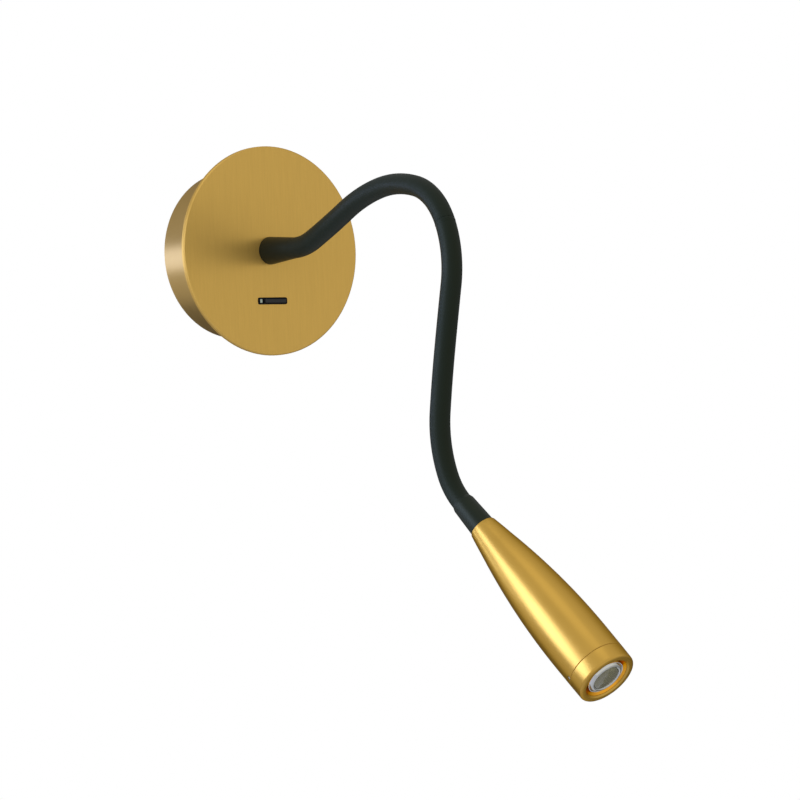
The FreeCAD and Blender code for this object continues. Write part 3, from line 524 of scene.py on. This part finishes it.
def make_boots():
    """The sleeves that the hose runs through at the plate and at the head."""
    boot = lathe("boot_at_wall", [
        (6.0, BOOT_FOOT, 0), (6.65, BOOT_FOOT, 0.15), (6.5, 33.0, 0.8), (5.03, BOOT_TIP, 0),
        (BOOT_TIP_INSIDE, BOOT_TIP, 0), (BOOT_TIP_INSIDE, 40, 0),
    ], WALL, "base", "boot_black")
    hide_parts("wall_boot")
    cuff = lathe("boot_at_head", [
        (BOOT_INSIDE, CUFF_START, 0), (5.1, CUFF_START, 0.05), (5.65, -14.2, 0.9), (6.0, -6, 1.5),
        (6.3, TAIL_START - FIT, 0.1), (BOOT_INSIDE, TAIL_START - FIT, 0),
    ], HEAD, "head", "boot_black")
    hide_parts("head_boot")


make_boots()

# ---------------------------------------------------------------- plate

DRUM_DEPTH = 29.0
PLATE_BACK = DRUM_DEPTH - FIT
PLATE_SHADOW_RADIUS = 49.75
PLATE_SHADOW_WIDTH = 2.0
PLATE_SHADOW_DEPTH = 0.4


def make_plate_painted_shadow():
    """A dark ring just behind the plate's back edge, painted shadow for the shade in the gap between the
    plate and the drum.
    """
    inside = PLATE_SHADOW_RADIUS - PLATE_SHADOW_WIDTH
    behind = PLATE_BACK - PLATE_SHADOW_DEPTH
    lathe("plate_painted_shadow_ring", [
        (inside, behind, 0), (PLATE_SHADOW_RADIUS, behind, 0.1), (PLATE_SHADOW_RADIUS, PLATE_BACK, 0),
        (inside, PLATE_BACK, 0),
    ], WALL, "base", "plate_gold", sides=160, material="painted_gap_shadow")


make_plate_painted_shadow()

# ---------------------------------------------------------------- head

HEAD_RADIUS = 15.4
TAIL_RADIUS = 6.15
TAIL_SWELL = 0.35
TAIL_SWELL_END = 14.0
TAPER = 84.0
SEAM = 97.0
LENGTH = 105.85
FLANK_STEPS = 30
THREAD_INSIDE = 13.2
THREAD_START = 68.0
BORE = 12.0
BORE_START = 50.0
TAIL_BORE = 7.0
TAIL_BORE_START = 12.0
CAP_THREAD_START = 90.0
CAP_INSIDE = 11.65
MOUTH_INSIDE = 9.9
MOUTH_DEPTH = 3.4
SET_SCREW_ANGLE = math.radians(193.5)
SET_SCREW_HEIGHT = SEAM - 1.1
SET_SCREW_HOLE = 1.0
SET_SCREW_BOTTOM = 12.5
SET_SCREW_REACH = 4.0
HOLE_SIDES = 32
HEAD_SIDES = 160
CAP_SHARP = 28


def flank():
    """The shell's outline from its tail to where it runs straight, a little fuller at the tail."""
    points = []
    for step in range(FLANK_STEPS + 1):
        height = TAIL_START + (TAPER - TAIL_START) * step / FLANK_STEPS
        radius = HEAD_RADIUS - (HEAD_RADIUS - TAIL_RADIUS) * (1 - height / TAPER) ** 2
        radius += TAIL_SWELL * max(0, 1 - height / TAIL_SWELL_END)
        points.append((radius, height, 0))
    points[0] = (points[0][0], points[0][1], 0.3)
    return points


def bored(item, start, direction, radius, length):
    """Bores a round hole into a piece and keeps the result as its mesh."""
    builder = bmesh.new()
    turn = Vector((0, 0, 1)).rotation_difference(direction).to_matrix().to_4x4()
    bmesh.ops.create_cone(
        builder, cap_ends=True, segments=HOLE_SIDES, radius1=radius, radius2=radius, depth=length,
        matrix=Matrix.Translation(start + direction * length / 2) @ turn,
    )
    mesh = bpy.data.meshes.new("bore")
    builder.to_mesh(mesh)
    builder.free()
    cutter = bpy.data.objects.new("bore", mesh)
    bpy.context.scene.collection.objects.link(cutter)
    cut = item.modifiers.new("bore", "BOOLEAN")
    cut.operation = "DIFFERENCE"
    cut.solver = "MANIFOLD"
    cut.object = cutter
    bpy.context.view_layer.update()
    evaluated = item.evaluated_get(bpy.context.evaluated_depsgraph_get())
    result = bpy.data.meshes.new_from_object(evaluated)
    item.modifiers.remove(cut)
    item.data = result
    result.set_sharp_from_angle(angle=math.radians(SHARP))
    bpy.data.objects.remove(cutter)


def make_head():
    """The turned shell with its set screw's hole, the cap, and the recess round the lens."""
    shell = lathe("head_body", [(BOOT_INSIDE, TAIL_START, 0)] + flank() + [
        (HEAD_RADIUS, SEAM - FIT, 0.4), (THREAD_INSIDE, SEAM - FIT, 0), (THREAD_INSIDE, THREAD_START, 0),
        (BORE, THREAD_START, 0), (BORE, BORE_START, 0), (TAIL_BORE, BORE_START, 0),
        (TAIL_BORE, TAIL_BORE_START, 0), (BOOT_INSIDE, TAIL_BORE_START, 0),
    ], HEAD, "head", "head_gold", sides=HEAD_SIDES)
    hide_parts("head_shell")
    outward = Vector((math.cos(SET_SCREW_ANGLE), math.sin(SET_SCREW_ANGLE), 0))
    bottom = outward * SET_SCREW_BOTTOM + Vector((0, 0, SET_SCREW_HEIGHT))
    start = HEAD @ (bottom * MM)
    direction = HEAD.to_3x3() @ outward
    bored(shell, start, direction, SET_SCREW_HOLE * MM, SET_SCREW_REACH * MM)
    thread = THREAD_INSIDE - 0.05
    cap = lathe("head_cap", [
        (CAP_INSIDE, CAP_THREAD_START, 0), (thread, CAP_THREAD_START, 0), (thread, SEAM, 0),
        (HEAD_RADIUS, SEAM, 0.4), (HEAD_RADIUS - 0.1, LENGTH, 2.2), (12.4, LENGTH, 0.12),
        (CAP_INSIDE, LENGTH - 0.75, 0),
    ], HEAD, "head", "head_gold", sides=HEAD_SIDES, sharp=CAP_SHARP)
    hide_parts("front_cap")
    outside = CAP_INSIDE - FIT
    # The recess wall is in the brighter orange gold: painted light for the glow bounced round the
    # recess.
    mouth = lathe("head_mouth", [
        (outside, LENGTH - 0.78, 0.1), (MOUTH_INSIDE, LENGTH - 2.4, 0.15),
        (MOUTH_INSIDE, LENGTH - MOUTH_DEPTH, 0), (outside, LENGTH - MOUTH_DEPTH, 0),
    ], HEAD, "head", "head_gold", sides=HEAD_SIDES, sharp=CAP_SHARP, material="mouth_gold_painted_bounce")
    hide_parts("front_cap")


# The lens sits with its flange's front at LENS_SEAT, and the reflector lies behind it.
LENS_SEAT = 102.1
LENS_BACK = LENS_SEAT - 0.8
FLANGE_RADIUS = 11.5
RING_RADIUS = 9.78
RING_FRONT = 104.5
RING_INSIDE = 9.3
SHOULDER_RADIUS = 9.28
SHOULDER_START = 104.2
SHOULDER_INSIDE = 6.95
TOP_RADIUS = 6.9
LENS_PEAK = 105.8
CUP_FOOT = 82.7
CUP_REAR = 100.3
CUP_FRONT = 101.25
LENS_SIDES = 128
CUP_SIDES = 96


def make_light():
    """The lens in three pieces: its clear top, and the shoulder and ring that show the reflector."""
    ring = lathe("lens_ring", [
        (RING_INSIDE, LENS_BACK, 0), (FLANGE_RADIUS, LENS_BACK, 0), (FLANGE_RADIUS, LENS_SEAT - FIT, 0),
        (RING_RADIUS, LENS_SEAT - FIT, 0), (RING_RADIUS, RING_FRONT, 0.2), (9.42, RING_FRONT, 0.2),
        (RING_INSIDE, SHOULDER_START, 0),
    ], HEAD, "head", "reflector_silver", sides=LENS_SIDES)
    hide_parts("lens")
    shoulder = lathe("lens_shoulder", [
        (SHOULDER_INSIDE, LENS_BACK, 0), (SHOULDER_RADIUS, LENS_BACK, 0),
        (SHOULDER_RADIUS, SHOULDER_START, 0.1), (8.6, 105.1, 0.8), (7.7, 105.5, 0.6), (7.0, 105.15, 0.3),
        (SHOULDER_INSIDE, 104.6, 0),
    ], HEAD, "head", "reflector_silver", sides=LENS_SIDES, material="lens_edge")
    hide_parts("lens")
    top = lathe("lens_top", [
        (0, LENS_BACK, 0), (TOP_RADIUS, LENS_BACK, 0), (TOP_RADIUS, 105.05, 0.15), (4.8, 105.5, 1.5),
        (2.4, 105.72, 1.5), (0, LENS_PEAK, 0),
    ], HEAD, "head", "lens_clear", sides=LENS_SIDES)
    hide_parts("lens")
    cup = lathe("light_reflector", [
        (4.7, CUP_FOOT, 0), (5.6, CUP_FOOT, 0), (9.6, CUP_REAR, 0), (FLANGE_RADIUS, CUP_REAR, 0),
        (FLANGE_RADIUS, CUP_FRONT, 0), (8.7, CUP_FRONT, 0), (8.2, 97.5, 2), (6.6, 90, 2),
    ], HEAD, "head", "reflector_silver", sides=CUP_SIDES)
    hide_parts("reflector")


make_head()
make_light()
soften_edges(["switch_frame", "switch_rocker"], 0.12 * MM)
soften_edges(["led_driver", "terminal_block", "wall_bracket"], 0.3 * MM)

# ---------------------------------------------------------------- light and ground


WHITE = (1, 1, 1)
COOL = (0.8, 0.97, 1.8)


def lamp(name, direction, distance, width, height, power, color=WHITE):
    """A soft panel: direction is (right, up, towards the camera) as seen in the photograph."""
    middle = (cad_low + cad_high) / 2
    away = (VIEW_RIGHT * direction[0] + VIEW_UP * direction[1] + VIEW_BACK * direction[2]).normalized()
    data = bpy.data.lights.new(name, "AREA")
    data.shape = "RECTANGLE"
    data.size = width
    data.size_y = height
    data.energy = power
    data.color = color
    item = bpy.data.objects.new(name, data)
    item.location = middle + away * distance
    item.rotation_mode = "QUATERNION"
    item.rotation_quaternion = (-away).to_track_quat("-Z", "Y")
    bpy.context.scene.collection.objects.link(item)


lamp("panel_left", (-0.926, 0.144, 0.347), 1.3, 0.78, 0.9, 9.0, COOL)
lamp("panel_side", (-0.94, 0.0, -0.34), 1.4, 0.35, 0.4, 1.2, COOL)
lamp("panel_low", (-0.86, -0.34, -0.38), 1.4, 0.8, 0.7, 0.6)
lamp("panel_top", (0.04, 0.94, 0.35), 1.4, 0.7, 0.7, 0.7)


def background(tree, strength=1.0):
    """A white background shader of some strength."""
    node = tree.nodes.new("ShaderNodeBackground")
    node.inputs["Color"].default_value = (1, 1, 1, 1)
    node.inputs["Strength"].default_value = strength
    return node


def mixed(tree, factor, first, second):
    """The first shader where the factor is 0 and the second where it is 1."""
    node = tree.nodes.new("ShaderNodeMixShader")
    tree.links.new(factor, node.inputs["Fac"])
    tree.links.new(first, node.inputs[1])
    tree.links.new(second, node.inputs[2])
    return node.outputs["Shader"]


# Reflections look white in the PALE_SIDE's direction, and darkest the other way.
PALE_SIDE = (VIEW_BACK * 0.87 + VIEW_UP * 0.5).normalized()
WHITE_FROM = 0.35
DARKEST_REFLECTION = 0.12
ROOM_LIGHT = 0.7


def make_world():
    """White to the camera. Reflections see it grow grey behind and below the lamp."""
    world = bpy.data.worlds.new("studio")
    bpy.context.scene.world = world
    world.use_nodes = True
    tree = world.node_tree
    path = tree.nodes.new("ShaderNodeLightPath")
    coordinates = tree.nodes.new("ShaderNodeTexCoord")
    dot = tree.nodes.new("ShaderNodeVectorMath")
    dot.operation = "DOT_PRODUCT"
    dot.inputs[1].default_value = PALE_SIDE
    tree.links.new(coordinates.outputs["Generated"], dot.inputs[0])
    shade = tree.nodes.new("ShaderNodeMapRange")
    shade.inputs["From Min"].default_value = -1.0
    shade.inputs["From Max"].default_value = WHITE_FROM
    shade.inputs["To Min"].default_value = DARKEST_REFLECTION
    shade.inputs["To Max"].default_value = 1.0
    tree.links.new(dot.outputs["Value"], shade.inputs["Value"])
    pale = background(tree)
    tree.links.new(shade.outputs["Result"], pale.inputs["Strength"])
    room = background(tree, ROOM_LIGHT)
    white = background(tree)
    either = tree.nodes.new("ShaderNodeMath")
    either.operation = "MAXIMUM"
    tree.links.new(path.outputs["Is Glossy Ray"], either.inputs[0])
    tree.links.new(path.outputs["Is Transmission Ray"], either.inputs[1])
    unseen = mixed(tree, either.outputs["Value"], room.outputs["Background"], pale.outputs["Background"])
    seen = mixed(tree, path.outputs["Is Camera Ray"], unseen, white.outputs["Background"])
    tree.links.new(seen, tree.nodes["World Output"].inputs["Surface"])


FLOOR_REACH = 1.0
FLOOR_HEIGHT = -1.1
FLOOR_GREY = 0.85


def make_floor():
    """A pale floor as far below as a bedroom's, which shows white to the camera."""
    corners = []
    for x, y in ((-1, -1), (1, -1), (1, 1), (-1, 1)):
        corners.append((FLOOR_REACH * x, FLOOR_REACH * y, FLOOR_HEIGHT))
    mesh = bpy.data.meshes.new("floor")
    mesh.from_pydata(corners, [], [(0, 1, 2, 3)])
    floor = bpy.data.objects.new("floor", mesh)
    bpy.context.scene.collection.objects.link(floor)
    material = bpy.data.materials.new("floor")
    material.use_nodes = True
    tree = material.node_tree
    shader = tree.nodes["Principled BSDF"]
    shader.inputs["Base Color"].default_value = (FLOOR_GREY, FLOOR_GREY, FLOOR_GREY, 1)
    shader.inputs["Roughness"].default_value = 0.9
    shader.inputs["Specular IOR Level"].default_value = 0.1
    path = tree.nodes.new("ShaderNodeLightPath")
    white = tree.nodes.new("ShaderNodeEmission")
    seen = mixed(tree, path.outputs["Is Camera Ray"], shader.outputs["BSDF"], white.outputs["Emission"])
    tree.links.new(seen, tree.nodes["Material Output"].inputs["Surface"])
    floor.data.materials.append(material)


make_world()
make_floor()
bpy.context.scene.view_settings.view_transform = "Standard"
